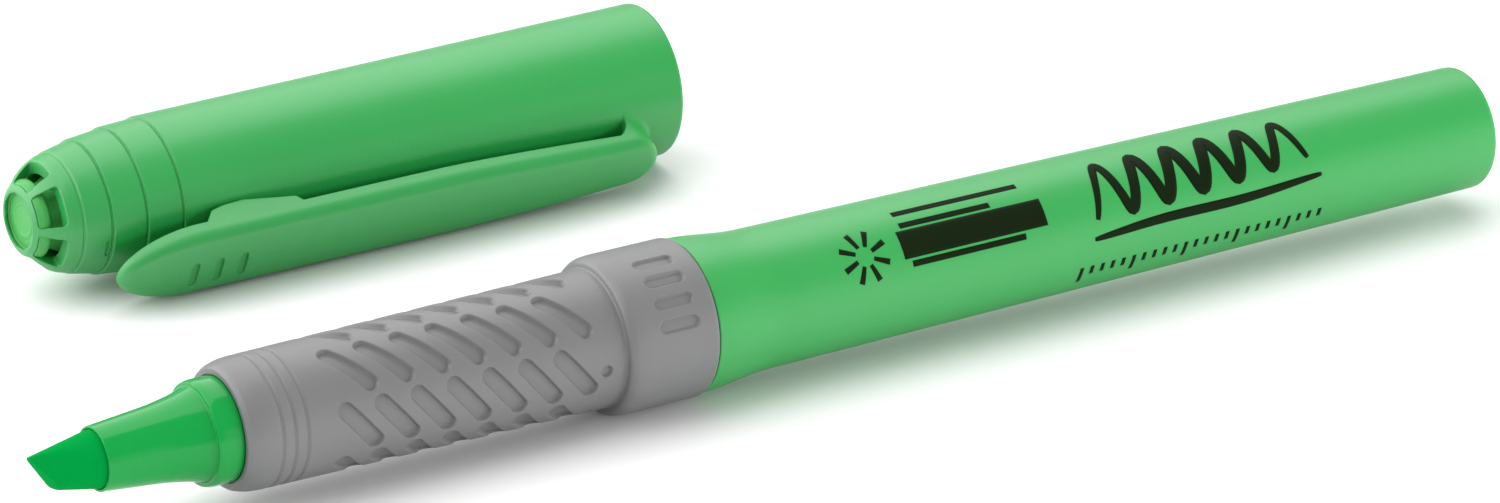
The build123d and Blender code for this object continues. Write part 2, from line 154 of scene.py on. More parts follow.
def ring_faces(rows, segments):
    """Quads of a closed grid: rows of points round an axis, with the last row joined to the first."""
    row, seg = np.meshgrid(np.arange(rows), np.arange(segments), indexing="ij")
    row_next, seg_next = (row + 1) % rows, (seg + 1) % segments
    quads = np.stack([row * segments + seg, row * segments + seg_next,
                      row_next * segments + seg_next, row_next * segments + seg], -1)
    return quads.reshape(-1, 4)


def drop_axis(points, faces, axis):
    """Points on the axis fall together, and the faces between two of them go."""
    radius = np.hypot(points[:, 1] - axis[1], points[:, 2] - axis[2])
    key = np.round(points / 1e-5).astype(np.int64)
    key[radius < 1e-6, 1:] = 0
    _, first, inverse = np.unique(key, axis=0, return_index=True, return_inverse=True)
    inverse = inverse.reshape(-1)
    merged = []
    for face in inverse[faces]:
        corners = [int(c) for c, d in zip(face, np.roll(face, 1)) if c != d]
        if len(set(corners)) >= 3:
            merged.append(corners)
    return points[first], merged


def lathe(name, corners, origin, segments=256, steps=6):
    """A closed solid of revolution from (station, radius, round) corners about an axis along X."""
    outline = with_supports(rounded(corners, steps))
    turn = np.linspace(0, 2 * np.pi, segments, endpoint=False)
    station, angle = np.meshgrid(outline[:, 0], turn, indexing="ij")
    radius = np.repeat(outline[:, 1:2], segments, axis=1)
    points = np.stack([station, radius * np.cos(angle), radius * np.sin(angle)], -1).reshape(-1, 3)
    faces = ring_faces(len(outline), segments)
    points, faces = drop_axis(points, faces, np.zeros(3))
    return mesh_object(name, points + origin, faces)


# ---------------------------------------------------------------- shapes as distance fields
def blend_max(a, b, size):
    """The larger of two distances, with the edge between them rounded over that size."""
    mix = np.clip(0.5 + 0.5 * (a - b) / size, 0, 1)
    return b + (a - b) * mix + size * mix * (1 - mix)


def blend_min(a, b, size):
    return -blend_max(-a, -b, size)


class Outline:
    """Distance to a closed outline in the plane of station and radius, negative inside it."""

    def __init__(self, points, pitch=0.04, margin=1.0):
        self.points = np.array(points, float)
        self.low = self.points.min(0) - margin
        self.pitch = pitch
        count = np.ceil((self.points.max(0) + margin - self.low) / pitch).astype(int) + 2
        self.count = count
        a = self.low[0] + pitch * np.arange(count[0])
        b = self.low[1] + pitch * np.arange(count[1])
        self.table = self.exact(*np.meshgrid(a, b, indexing="ij"))

    def exact(self, station, radius):
        best = np.full(station.shape, 1e9)
        inside = np.zeros(station.shape, bool)
        for start, end in zip(self.points, np.roll(self.points, -1, axis=0)):
            along = end - start
            t = ((station - start[0]) * along[0] + (radius - start[1]) * along[1]) / max(along @ along, 1e-12)
            t = np.clip(t, 0, 1)
            gap = (station - start[0] - t * along[0]) ** 2 + (radius - start[1] - t * along[1]) ** 2
            best = np.minimum(best, gap)
            if start[1] != end[1]:
                crosses = (start[1] > radius) != (end[1] > radius)
                edge = start[0] + (radius - start[1]) / (end[1] - start[1]) * along[0]
                inside ^= crosses & (station < edge)
        return np.where(inside, -1, 1) * np.sqrt(best)

    def quick(self, station, radius):
        a = np.clip((station - self.low[0]) / self.pitch, 0, self.count[0] - 1.001)
        b = np.clip((radius - self.low[1]) / self.pitch, 0, self.count[1] - 1.001)
        i, j = a.astype(int), b.astype(int)
        u, v = a - i, b - j
        t = self.table
        return (t[i, j] * (1 - u) * (1 - v) + t[i + 1, j] * u * (1 - v)
                + t[i, j + 1] * (1 - u) * v + t[i + 1, j + 1] * u * v)


def field_slope(field, points, step=0.004):
    parts = []
    for axis in range(3):
        offset = np.zeros(3)
        offset[axis] = step
        parts.append((field(*(points + offset).T) - field(*(points - offset).T)) / (2 * step))
    return np.stack(parts, -1)


LONGEST_MOVE = 0.12            # a point moves no further than this in one round of settling


def field_mesh(field, fine_field, xs, ys, zs, rounds=4):
    """Points, quads and normals of the surface where a field is zero.

    Each grid cell that the surface crosses gets one point, the mean of its edge crossings. The
    points are then moved along the finer field's slope until they lie on the surface.
    """
    grid = np.meshgrid(xs, ys, zs, indexing="ij")
    value = field(*grid)
    inside = value < 0
    cells = np.array(value.shape) - 1
    corners = [(i, j, k) for i in (0, 1) for j in (0, 1) for k in (0, 1)]
    total = sum(inside[i:i + cells[0], j:j + cells[1], k:k + cells[2]].astype(np.int8) for i, j, k in corners)
    active = (total > 0) & (total < 8)
    index = np.full(active.shape, -1, np.int64)
    index[active] = np.arange(active.sum())
    where = np.argwhere(active)
    lines = [np.asarray(xs), np.asarray(ys), np.asarray(zs)]
    points, hits = np.zeros((len(where), 3)), np.zeros(len(where))
    for corner in corners:
        for axis in range(3):
            if corner[axis]:
                continue
            a = where + corner
            b = a.copy()
            b[:, axis] += 1
            va, vb = value[tuple(a.T)], value[tuple(b.T)]
            cross = (va < 0) != (vb < 0)
            t = np.where(cross, va / np.where(cross, va - vb, 1), 0)
            pa = np.stack([lines[n][a[:, n]] for n in range(3)], -1)
            pb = np.stack([lines[n][b[:, n]] for n in range(3)], -1)
            points += np.where(cross[:, None], pa + t[:, None] * (pb - pa), 0)
            hits += cross
    points /= hits[:, None]
    quads = []
    for axis in range(3):
        u, v = [n for n in range(3) if n != axis]
        first = [slice(1, -1)] * 3
        first[axis] = slice(0, -1)
        second = list(first)
        second[axis] = slice(1, None)
        change = inside[tuple(first)] != inside[tuple(second)]
        base = np.argwhere(change)
        base[:, u] += 1
        base[:, v] += 1
        rising = inside[tuple(base.T)]
        around = []
        for du, dv in ((-1, -1), (0, -1), (0, 0), (-1, 0)):
            cell = base.copy()
            cell[:, u] += du
            cell[:, v] += dv
            around.append(index[tuple(cell.T)])
        quad = np.stack(around, -1)
        if axis == 1:
            rising = ~rising
        quad[~rising] = quad[~rising][:, ::-1]
        quads.append(quad)
    quads = np.concatenate(quads)
    for _ in range(rounds):
        slope = field_slope(fine_field, points)
        size = np.maximum((slope ** 2).sum(-1), 0.05)
        move = -(fine_field(*points.T) / size)[:, None] * slope
        length = np.linalg.norm(move, axis=1, keepdims=True)
        points += move * np.minimum(1, LONGEST_MOVE / np.maximum(length, 1e-9))
    slope = field_slope(fine_field, points)
    normals = slope / np.maximum(np.linalg.norm(slope, axis=1, keepdims=True), 1e-9)
    return points, quads, normals


def spaced(*stops):
    """Grid lines: (from, to, pitch) stretches end to end."""
    lines = []
    for low, high, pitch in stops:
        count = max(1, round((high - low) / pitch))
        lines.append(np.linspace(low, high, count, endpoint=False))
    lines.append([stops[-1][1]])
    return np.concatenate(lines)


# ---------------------------------------------------------------- materials
CLOUD_SCALE, CLOUD_DETAIL = 90.0, 3.0
GRAIN_DETAIL = 4.0
GLOSS_SPREAD = 0.05
RELIEF_DEPTH = 0.00006


def moulded(name, light, dark, rough, grain, bump, **sockets):
    """Moulded plastic or rubber: soft tone changes, a fine grain in the surface, even gloss."""
    material = bpy.data.materials.new(name)
    material.use_nodes = True
    nodes, links = material.node_tree.nodes, material.node_tree.links
    shader = nodes["Principled BSDF"]
    place = nodes.new("ShaderNodeTexCoord")
    cloud = nodes.new("ShaderNodeTexNoise")
    cloud.inputs["Scale"].default_value = CLOUD_SCALE
    cloud.inputs["Detail"].default_value = CLOUD_DETAIL
    tone = nodes.new("ShaderNodeMix")
    tone.data_type = "RGBA"
    tone.inputs["A"].default_value = (*dark, 1)
    tone.inputs["B"].default_value = (*light, 1)
    grit = nodes.new("ShaderNodeTexNoise")
    grit.inputs["Scale"].default_value = grain
    grit.inputs["Detail"].default_value = GRAIN_DETAIL
    gloss = nodes.new("ShaderNodeMapRange")
    gloss.inputs["To Min"].default_value = rough - GLOSS_SPREAD
    gloss.inputs["To Max"].default_value = rough + GLOSS_SPREAD
    relief = nodes.new("ShaderNodeBump")
    relief.inputs["Strength"].default_value = bump
    relief.inputs["Distance"].default_value = RELIEF_DEPTH
    for texture in (cloud, grit):
        links.new(place.outputs["Object"], texture.inputs["Vector"])
    links.new(cloud.outputs["Fac"], tone.inputs["Factor"])
    links.new(tone.outputs["Result"], shader.inputs["Base Color"])
    links.new(grit.outputs["Fac"], gloss.inputs["Value"])
    links.new(gloss.outputs["Result"], shader.inputs["Roughness"])
    links.new(grit.outputs["Fac"], relief.inputs["Height"])
    links.new(relief.outputs["Normal"], shader.inputs["Normal"])
    for socket, value in sockets.items():
        shader.inputs[socket.replace("_", " ")].default_value = value
    return material


# each: name, light tone, dark tone, roughness, grain scale, grain strength
GREEN = moulded(
    "barrel_green", (0.020, 0.305, 0.060), (0.015, 0.278, 0.052), 0.40, 9000.0, 0.35,
    Specular_IOR_Level=0.85)
CAP_GREEN = moulded(
    "cap_green", (0.018, 0.305, 0.060), (0.013, 0.278, 0.052), 0.40, 8000.0, 0.30,
    Specular_IOR_Level=0.85)
PLUG_GREEN = moulded(
    "plug_green", (0.019, 0.298, 0.058), (0.014, 0.270, 0.050), 0.42, 9000.0, 0.30,
    Specular_IOR_Level=0.85)
SEAL_GREEN = moulded(
    "seal_green", (0.050, 0.350, 0.070), (0.040, 0.320, 0.060), 0.45, 7000.0, 0.25)
HOLDER_GREEN = moulded(
    "holder_green", (0.002, 0.330, 0.056), (0.001, 0.290, 0.046), 0.14, 5000.0, 0.06,
    Specular_IOR_Level=0.32, Transmission_Weight=0.10)
FELT = moulded(
    "nib_felt", (0.001, 0.285, 0.050), (0.0, 0.250, 0.040), 0.90, 5200.0, 1.0,
    Specular_IOR_Level=0.02)
GRIP = moulded(
    "grip_rubber", (0.160, 0.160, 0.162), (0.134, 0.134, 0.136), 0.44, 7000.0, 0.40,
    Specular_IOR_Level=0.8)
INK = moulded(
    "print_ink", (0.005, 0.014, 0.002), (0.002, 0.007, 0.001), 0.55, 12000.0, 0.20,
    Specular_IOR_Level=0.1)
FIBRE = moulded(
    "fibre_core", (0.300, 0.760, 0.300), (0.190, 0.620, 0.210), 0.90, 5000.0, 1.0)
FILM = moulded(
    "film", (0.680, 0.760, 0.680), (0.580, 0.690, 0.580), 0.22, 3000.0, 0.15,
    Transmission_Weight=0.6)


def dress(obj, material, body, slot, *nodes):
    """Gives a piece its material and its body, and hides the CAD nodes it stands for; the slot is not used.
    """
    obj.data.materials.clear()
    obj.data.materials.append(material)
    if body:
        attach(obj, body)
    if nodes:
        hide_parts(*nodes)
    return obj


def about(angle):
    """Unit vectors in the plane across an axis: outward at that angle, and round it."""
    turn = math.radians(angle)
    return np.array([math.cos(turn), math.sin(turn)]), np.array([-math.sin(turn), math.cos(turn)])


# ---------------------------------------------------------------- nib
NIB_ANGLE = 64.2
NIB_FRONT_R = 1.25
NIB_TAPER = 5.5
NIB_EDGE_HALF = 0.30
NIB_WEDGE = math.radians(23.0)
NIB_LONG_SIDE = 1.20
NIB_SLANT = math.radians(33.0)
NIB_EDGE_ROUND = 0.22
NIB_BACK = nib_high[0] - PEN[0]
NIB_BACK_GAP = 0.02
NIB_FINE_END, NIB_GRID_SIDE, NIB_PITCH, NIB_LONG_PITCH = 8.0, 2.6, 0.07, 0.6


def nib_field(x, y, z):
    long_way, flat_way = about(NIB_ANGLE)
    up = y * long_way[0] + z * long_way[1]
    side = y * flat_way[0] + z * flat_way[1]
    taper = (NIB_ROD_R - NIB_FRONT_R) / NIB_TAPER
    rod = (np.hypot(y, z) - np.minimum(NIB_FRONT_R + taper * x, NIB_ROD_R)) * math.cos(math.atan(taper))
    flats = (np.abs(side) - NIB_EDGE_HALF - x * math.tan(NIB_WEDGE)) * math.cos(NIB_WEDGE)
    slant = (NIB_LONG_SIDE - up) * math.sin(NIB_SLANT) - x * math.cos(NIB_SLANT)
    shape = blend_max(rod, flats, NIB_EDGE_ROUND)
    shape = blend_max(shape, slant, NIB_EDGE_ROUND)
    return np.maximum(shape, x - (NIB_BACK - NIB_BACK_GAP))


def make_nib():
    xs = spaced((-0.3, NIB_FINE_END, NIB_PITCH), (NIB_FINE_END, NIB_BACK + 0.4, NIB_LONG_PITCH))
    across = spaced((-NIB_GRID_SIDE, NIB_GRID_SIDE, NIB_PITCH))
    points, quads, normals = field_mesh(nib_field, nib_field, xs, across, across)
    nib = mesh_object("felt_nib", points + PEN, quads.tolist(), normals)
    return dress(nib, FELT, "pen", "nib_felt", "nib")


# ---------------------------------------------------------------- nib holder
HOLDER_FRONT_R = 2.52
HOLDER_BEND, HOLDER_BEND_R = 10.6, 3.00
HOLDER_FLARE, HOLDER_FLARE_R = 12.6, 3.34
RING_STATION, RING_FOOT_R = 13.8, 3.68
RING_EDGE, RING_RISE = 0.12, 0.45
HOLDER_SEAT = 15.9


def make_nib_holder():
    corners = [
        (HOLDER_START, NIB_ROD_R + FIT, 0), (HOLDER_START, HOLDER_FRONT_R, 0.12),
        (HOLDER_BEND, HOLDER_BEND_R, 1.6), (HOLDER_FLARE, HOLDER_FLARE_R, 1.2),
        (RING_STATION, RING_FOOT_R, 0.10), (RING_STATION, HOLDER_RING_R - RING_EDGE, 0.08),
        (RING_STATION + RING_RISE, HOLDER_RING_R, 0.25), (HOLDER_SEAT, HOLDER_RING_R, 0.10),
        (HOLDER_SEAT, BORE_R - FIT, 0.10), (HOLDER_END, BORE_R - FIT, 0.3),
        (HOLDER_END, NIB_ROD_R + FIT, 0)]
    holder = lathe("front_cone", corners, PEN)
    return dress(holder, HOLDER_GREEN, "pen", "holder_plastic", "nib_holder")


# ---------------------------------------------------------------- grip sleeve
SLOT_ROWS, SLOTS_PER_ROW = 7, 7
SLOT_FIRST, SLOT_PITCH = 25.3, 3.11
SLOT_WIDTH, SLOT_RUN, SLOT_TURN = 1.30, 2.50, 33.0
SLOT_DEPTH, SLOT_EDGE, SLOT_ROW_ANGLE = 0.36, 0.12, 129.7
SLOTS_FROM, SLOTS_TO = 22.0, 47.2
GROOVE_FIRST, GROOVE_PITCH, GROOVE_COUNT = 18.6, 1.05, 3
GROOVE_HALF, GROOVE_DEPTH, GROOVE_EDGE = 0.12, 0.12, 0.24
PIP_ANGLE, PIP_STATION, PIP_R, PIP_DEPTH, PIP_EDGE = 184.5, 46.6, 0.44, 0.30, 0.14
MARK_ANGLE, MARK_PITCH, MARK_COUNT = 108.0, 17.0, 4
MARK_LENGTH, MARK_WIDTH, MARK_DEPTH, MARK_EDGE = 3.4, 0.95, 0.25, 0.13
MARK_STATION = 52.85
GRIP_LIP = GRIP_START + 0.42
LIP_INNER_R, LIP_FRONT_R = 4.40, 4.60
BEVEL_STATION, BEVEL_R = 16.20, 4.84
NOSE_STATION, GRIP_NOSE_R = 17.0, 5.08
COLLAR_BEVEL, COLLAR_TOP_STEP = 0.35, 0.08
GRIP_SEAT, GRIP_SEAT_GAP = 16.0, 0.06
SLEEVE_SEGMENTS, SLEEVE_PITCH, BORE_PITCH = 640, 0.075, 3.0


def grip_radius(station):
    return GRIP_FRONT_R + (GRIP_REAR_R - GRIP_FRONT_R) * (station - GRIP_FRONT) / (SHOULDER - GRIP_FRONT)


def recess(distance, depth, edge):
    """How deep a pocket is at a distance from its edge, with a soft lip and a soft floor corner."""
    t = np.clip(0.5 - distance / edge, 0, 1)
    return depth * t * t * (3 - 2 * t)


def stadium(along, across, lean_along, lean_across, width):
    """Distance to a round-ended slot whose two end centres are at plus and minus that lean."""
    length2 = lean_along ** 2 + lean_across ** 2
    t = np.clip((along * lean_along + across * lean_across) / length2, -1, 1)
    return np.hypot(along - t * lean_along, across - t * lean_across) - width / 2


def grip_relief(station, angle):
    """How far the sleeve's outside sinks at a station and an angle in degrees."""
    depth = np.zeros(np.broadcast(station, angle).shape)
    among_slots = (station > SLOTS_FROM) & (station < SLOTS_TO)
    for row in range(SLOT_ROWS):
        turn = (angle - SLOT_ROW_ANGLE - row * 360 / SLOT_ROWS + 180) % 360 - 180
        for index in range(SLOTS_PER_ROW):
            middle = SLOT_FIRST + index * SLOT_PITCH
            size = grip_radius(middle)
            distance = stadium(
                station - middle, np.radians(turn) * size, SLOT_RUN / 2,
                math.radians(SLOT_TURN) * size / 2, SLOT_WIDTH)
            depth = np.maximum(depth, np.where(among_slots, recess(distance, SLOT_DEPTH, SLOT_EDGE), 0))
    for index in range(GROOVE_COUNT):
        distance = np.abs(station - GROOVE_FIRST - index * GROOVE_PITCH) - GROOVE_HALF
        depth = np.maximum(depth, recess(distance, GROOVE_DEPTH, GROOVE_EDGE))
    turn = np.radians((angle - PIP_ANGLE + 180) % 360 - 180) * GRIP_REAR_R
    pip = np.hypot(station - PIP_STATION, turn) - PIP_R
    depth = np.maximum(depth, recess(pip, PIP_DEPTH, PIP_EDGE))
    for index in range(MARK_COUNT):
        turn = (angle - MARK_ANGLE - index * MARK_PITCH + 180) % 360 - 180
        half = (MARK_LENGTH - MARK_WIDTH) / 2
        distance = stadium(station - MARK_STATION, np.radians(turn) * COLLAR_R, half, 0.0, MARK_WIDTH)
        depth = np.maximum(depth, recess(distance, MARK_DEPTH, MARK_EDGE))
    return depth


def make_grip_sleeve():
    front = [
        (GRIP_LIP, LIP_INNER_R, 0.05), (GRIP_LIP, LIP_FRONT_R, 0.04), (BEVEL_STATION, BEVEL_R, 0.05),
        (NOSE_STATION, GRIP_NOSE_R, 0.5), (GRIP_FRONT, GRIP_FRONT_R, 0.5)]
    rear = [
        (SHOULDER, GRIP_REAR_R, 0.16), (SHOULDER + 0.10, COLLAR_R - COLLAR_BEVEL, 0.25),
        (SHOULDER + 0.55, COLLAR_R - COLLAR_TOP_STEP, 0.25), (SHOULDER + 1.3, COLLAR_R, 0.4),
        (GRIP_END, COLLAR_R, 0.45)]
    inner = [
        (GRIP_END, NECK_R + FIT, 0.05), (GRIP_SEAT, NECK_R + FIT, 0.02),
        (GRIP_SEAT, HOLDER_RING_R + GRIP_SEAT_GAP, 0.02),
        (GRIP_LIP, HOLDER_RING_R + GRIP_SEAT_GAP, 0.05)]
    outline = rounded(front + rear + inner, 8)
    dense = []
    for here, after in zip(outline, np.roll(outline, -1, axis=0)):
        outside = here[1] > NECK_R + 0.3 and after[1] > NECK_R + 0.3
        pitch = SLEEVE_PITCH if outside else BORE_PITCH
        count = max(1, math.ceil(np.linalg.norm(after - here) / pitch))
        dense += [here + (after - here) * step / count for step in range(count)]
    dense = np.array(dense)
    turn = np.linspace(0, 360, SLEEVE_SEGMENTS, endpoint=False)
    station, angle = np.meshgrid(dense[:, 0], turn, indexing="ij")
    radius = np.repeat(dense[:, 1:2], SLEEVE_SEGMENTS, axis=1)
    sinks = (dense[:, 1] > NECK_R + 0.45)[:, None] & (station > GRIP_FRONT)
    radius = radius - np.where(sinks, grip_relief(station, angle), 0)
    turn = np.radians(angle)
    points = np.stack([station, radius * np.cos(turn), radius * np.sin(turn)], -1).reshape(-1, 3)
    faces = ring_faces(len(dense), SLEEVE_SEGMENTS)
    sleeve = mesh_object("rubber_grip", points + PEN, faces.tolist())
    return dress(sleeve, GRIP, "pen", "grip_rubber", "grip_sleeve")


# ---------------------------------------------------------------- barrel, end plug and print
BARREL_START = 16.05
FLARE_TOP_R = COLLAR_R - 0.17
FLARE_STEPS = 10
PLUG_SPIGOT, PLUG_WALL = 6.0, 1.3
PLUG_HEAD_R, PLUG_CORNER, PLUG_FACE_R = 4.20, 0.75, 2.2


def barrel_radius(station):
    start = GRIP_END + FLARE_LENGTH
    return BARREL_FRONT_R + (BARREL_REAR_R - BARREL_FRONT_R) * (station - start) / (BARREL_END - start)


def make_barrel():
    corners = [
        (BARREL_START, BORE_R + FIT, 0), (BARREL_START, NECK_R, 0), (GRIP_END + FIT, NECK_R, 0),
        (GRIP_END + FIT, COLLAR_R - 0.15, 0.15)]
    for step in range(1, FLARE_STEPS + 1):
        t = step / FLARE_STEPS
        ease = (math.cos(math.pi * t) + 1) / 2
        radius = BARREL_FRONT_R + (FLARE_TOP_R - BARREL_FRONT_R) * ease
        corners.append((GRIP_END + t * FLARE_LENGTH, radius, 0.35))
    corners += [(BARREL_END, BARREL_REAR_R, BARREL_RIM_ROUND), (BARREL_END, BORE_R + FIT, 0)]
    barrel = lathe("green_barrel", corners, PEN, segments=320)
    return dress(barrel, GREEN, "pen", "barrel_plastic", "barrel")


def make_end_plug():
    inner, seam, end = BARREL_END - PLUG_SPIGOT, BARREL_END + 2 * FIT, PEN_LENGTH
    corners = [
        (inner, BORE_R - PLUG_WALL, 0), (inner, BORE_R, 0.3), (seam, BORE_R, 0),
        (seam, PLUG_HEAD_R, 0.05), (BARREL_END + 0.30, PLUG_HEAD_R, 0.2),
        (end - 0.22, PLUG_HEAD_R - PLUG_CORNER, 0.8), (end, PLUG_FACE_R, 1.0), (end, 0, 0),
        (BARREL_END, 0, 0), (BARREL_END, BORE_R - PLUG_WALL, 0.2)]
    plug = lathe("tail_plug", corners, PEN, segments=256, steps=8)
    return dress(plug, PLUG_GREEN, "pen", "plug_plastic", "end_plug")


PRINT_LIFT = 0.018
PRINT_SINK = -0.03


class Print:
    """Ink strokes wrapped on the barrel, as thin closed ribbons in one mesh."""

    def __init__(self):
        self.points, self.faces = [], []

    def wrap(self, flat, lift):
        station, angle = flat[:, 0], np.radians(flat[:, 1])
        radius = barrel_radius(station) + lift
        return np.stack([station, radius * np.cos(angle), radius * np.sin(angle)], -1)

    def stroke(self, route, widths, columns=5):
        """A ribbon along (station, angle) points, with its width at each point in millimetres."""
        route = np.array(route, float)
        scale = np.array([1.0, math.radians(1) * barrel_radius(route[:, 0].mean())])
        flat = route * scale
        along = np.gradient(flat, axis=0)
        along /= np.linalg.norm(along, axis=1, keepdims=True)
        across = np.stack([-along[:, 1], along[:, 0]], -1)
        widths = np.broadcast_to(np.asarray(widths, float), (len(route),))
        rows = []
        for share in np.linspace(-0.5, 0.5, columns):
            rows.append((flat + across * (widths * share)[:, None]) / scale)
        top = [self.wrap(row, PRINT_LIFT) for row in rows]
        bottom = [self.wrap(row, PRINT_SINK) for row in rows[::-1]]
        loop = np.stack(top + bottom, 1)
        count, ring = loop.shape[:2]
        base = sum(len(p) for p in self.points)
        self.points.append(loop.reshape(-1, 3))
        for here in range(base, base + (count - 1) * ring, ring):
            after = here + ring
            for k in range(ring):
                m = (k + 1) % ring
                self.faces.append([here + k, here + m, after + m, after + k])
        self.faces.append([base + k for k in range(ring)][::-1])
        self.faces.append([base + (count - 1) * ring + k for k in range(ring)])

    def curve(self, controls, width, steps=24, taper=0.35):
        """A smooth stroke through control points, thinner at both ends like a brush's."""
        controls = np.array(controls, float)
        padded = np.vstack([2 * controls[0] - controls[1], controls, 2 * controls[-1] - controls[-2]])
        route = []
        for a, b, c, d in zip(padded, padded[1:], padded[2:], padded[3:]):
            for step in range(steps):
                t = step / steps
                route.append(0.5 * (2 * b + (c - a) * t + (2 * a - 5 * b + 4 * c - d) * t ** 2
                                    + (3 * b - a - 3 * c + d) * t ** 3))
        route.append(controls[-1])
        share = np.linspace(0, 1, len(route))
        swell = taper + (1 - taper) * np.sin(np.pi * share) ** 0.5
        self.stroke(route, width * swell)


BURST = (70.6, 142.0)
BURST_RAYS, RAY_FROM, RAY_TO = 8, 0.8, 2.2
RAY_WIDTHS = (0.34, 0.50)
LINE_WIDTH, BROAD_WIDTH = 0.5, 2.3
# the lines' angles, first and last stations, and widths; the third is marked over
LINES = [
    (110, 74.6, 86.2, LINE_WIDTH), (123, 74.6, 83.0, LINE_WIDTH), (140, 74.0, 87.4, BROAD_WIDTH),
    (157, 74.6, 85.2, LINE_WIDTH)]
ZIGZAG_PEAKS, ZIGZAG_START, ZIGZAG_LENGTH = 6, 92.0, 20.5
ZIGZAG_TOP, ZIGZAG_FOOT, ZIGZAG_CLIMB, ZIGZAG_WIDTH = 108.0, 158.0, 10, 1.1
SWEEP, SWEEP_WIDTH = [(91.5, 174.0), (98.0, 170.0), (106.0, 170.0), (113.5, 165.0)], 0.8
TICKS, TICK_START, TICK_ANGLE = 24, 90.5, 199.0
TICK_REACH, LONG_TICK_REACH, TICK_WIDTH = 9.0, 17.0, 0.34


def print_burst(ink):
    """A small burst of short rays, each wider at its outer end."""
    degree = 1 / (math.radians(1) * 5.4)
    for ray in range(BURST_RAYS):
        turn = 2 * math.pi * (ray + 0.5) / BURST_RAYS
        way = np.array([math.cos(turn), math.sin(turn) * degree])
        route = [np.array(BURST) + way * reach for reach in np.linspace(RAY_FROM, RAY_TO, 6)]
        ink.stroke(route, np.linspace(*RAY_WIDTHS, 6))


def print_zigzag(ink):
    """A loose zigzag and a sweep below it, as a marker makes when it is tried out."""
    zigzag = []
    for step in range(2 * ZIGZAG_PEAKS + 1):
        share = step / (2 * ZIGZAG_PEAKS)
        angle = ZIGZAG_TOP if step % 2 else ZIGZAG_FOOT - ZIGZAG_CLIMB * share
        zigzag.append((ZIGZAG_START + ZIGZAG_LENGTH * share, angle))
    ink.curve(zigzag, ZIGZAG_WIDTH, steps=14)
    ink.curve(SWEEP, SWEEP_WIDTH)


def print_scale(ink):
    """A plain scale with every fifth mark longer."""
    for tick in range(TICKS):
        reach = TICK_REACH if tick % 5 else LONG_TICK_REACH
        station = TICK_START + tick
        ink.stroke([(station, TICK_ANGLE + reach * t) for t in np.linspace(0, 1, 6)], TICK_WIDTH)


def make_print():
    ink = Print()
    print_burst(ink)
    for angle, low, high, width in LINES:
        ink.stroke([(station, angle) for station in np.linspace(low, high, 40)], width, columns=11)
    print_zigzag(ink)
    print_scale(ink)
    points = np.concatenate(ink.points) + PEN
    mark = mesh_object("barrel_marks", points, ink.faces)
    return dress(mark, INK, "pen", "barrel_plastic")


# ---------------------------------------------------------------- cap shell and inner seal
# where each ring starts, the radius in front of it, and its rise
RINGS = [(5.50, 5.36, 0.14), (8.40, 5.76, 0.14), (11.50, 6.02, 0.12)]
RING_GROOVE = 0.09
WINDOW_COUNT, WINDOW_ANGLE = 6, 150.2
WINDOW_MIDDLE, WINDOW_HALF = 1.23, 0.92
WINDOW_HALF_WIDTH, WINDOW_FLARE, WINDOW_CORNER, WINDOW_FLOOR_R = 1.46, 0.22, 0.34, 2.0
NICK_STATION, NICK_ANGLE, NICK_HALF, NICK_R, NICK_FLOOR_R = 5.30, 200.0, 0.60, 0.15, 5.20
NOSE_R, NOSE_HOLE_R = 2.62, 2.30
DOME = [
    (0.28, 2.98), (0.62, 3.36), (1.0, 3.71), (1.5, 4.08), (2.0, 4.38), (2.6, 4.65), (3.2, 4.84),
    (3.28, 4.80), (3.42, 4.83), (3.5, 4.96)]
CROWN_INSIDE = [
    (12.9, CAP_BORE_R), (11.4, 4.98), (10.0, 4.98), (4.1, 4.02), (3.0, 3.65), (2.2, 3.38),
    (1.4, 3.05), (0.55, 2.80)]
NOSE_GRID_END, RING_GRID_END, MOUTH_GRID = 6.3, 12.2, 0.7
NOSE_PITCH, RING_PITCH, BODY_PITCH, MOUTH_PITCH, CAP_ACROSS_PITCH = 0.075, 0.10, 0.9, 0.08, 0.105
SEAL_WALL_R, SEAL_BULGE_START = 4.77, 0.33


def cap_outline():
    """The shell's closed profile as (station, radius): up the outside, then back inside."""
    outside = [(0.0, NOSE_HOLE_R - 0.02), (0.0, NOSE_R - 0.10)] + DOME
    for station, radius, rise in RINGS:
        outside += [
            (station, radius), (station + 0.05, radius - RING_GROOVE),
            (station + 0.15, radius - RING_GROOVE), (station + 0.22, radius + rise)]
    outside += [
        (CAP_LENGTH - 0.25, MOUTH_R), (CAP_LENGTH - 0.07, MOUTH_R - 0.08),
        (CAP_LENGTH, MOUTH_R - 0.25)]
    inside = [(CAP_LENGTH, CAP_BORE_R + 0.4), (CAP_LENGTH - 0.4, CAP_BORE_R)] + CROWN_INSIDE
    inside += [(0.55, NOSE_HOLE_R - 0.02)]
    return Outline(outside + inside)


cap_line = cap_outline()


def window_field(x, y, z):
    """Six rounded openings round the dome, wider towards the body."""
    pitch = 2 * math.pi / WINDOW_COUNT
    turn = (np.arctan2(z, y) - math.radians(WINDOW_ANGLE) + pitch / 2) % pitch - pitch / 2
    radius = np.hypot(y, z)
    across = np.abs(np.sin(turn) * radius)
    half = WINDOW_HALF_WIDTH + WINDOW_FLARE * (x - WINDOW_MIDDLE)
    out_x = np.abs(x - WINDOW_MIDDLE) - WINDOW_HALF + WINDOW_CORNER
    out_y = across - half + WINDOW_CORNER
    outside = np.hypot(np.maximum(out_x, 0), np.maximum(out_y, 0))
    gap = outside + np.minimum(np.maximum(out_x, out_y), 0) - WINDOW_CORNER
    return blend_max(gap, WINDOW_FLOOR_R - radius, 0.1)


